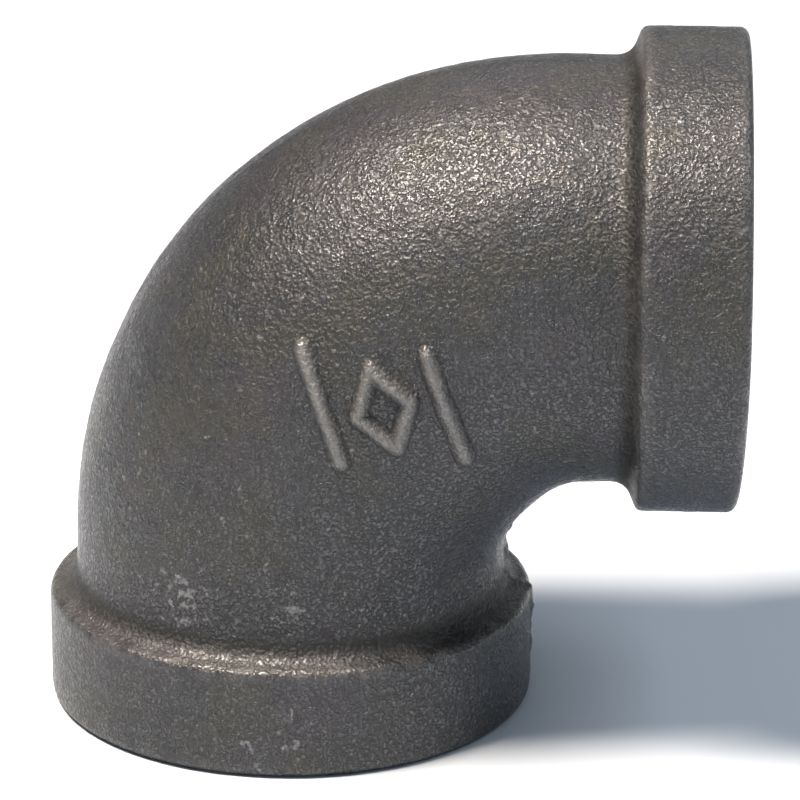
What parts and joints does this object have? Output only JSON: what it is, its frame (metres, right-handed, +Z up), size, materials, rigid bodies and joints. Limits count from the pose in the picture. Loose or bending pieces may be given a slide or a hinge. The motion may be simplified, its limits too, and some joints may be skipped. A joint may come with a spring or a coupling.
{
  "type": "pipe elbow",
  "caption": "Right-angle cast iron pipe elbow with a female pipe thread and a reinforcing band at each end; it turns a pipe run through a quarter turn.",
  "frame": {"origin": "centre of the lower mouth's end face", "axes": "+Z runs up the lower socket's axis into the bend, +X is the way the side mouth faces, and Y = 0 is the plane of symmetry"},
  "size_m": [0.0371, 0.026, 0.0371],
  "materials": {
    "cast_skin": "black sand-cast skin, lightly oiled, with an orange-peel grain and a soft sheen",
    "cut_thread": "bare iron cut by a tap, oiled, brighter than the cast skin"
  },
  "bodies": {
    "root": {"elbow_casting": "cast_skin", "lower_thread": "cut_thread", "side_thread": "cut_thread", "cast_mark": "cast_skin"}
  },
  "joints": []
}
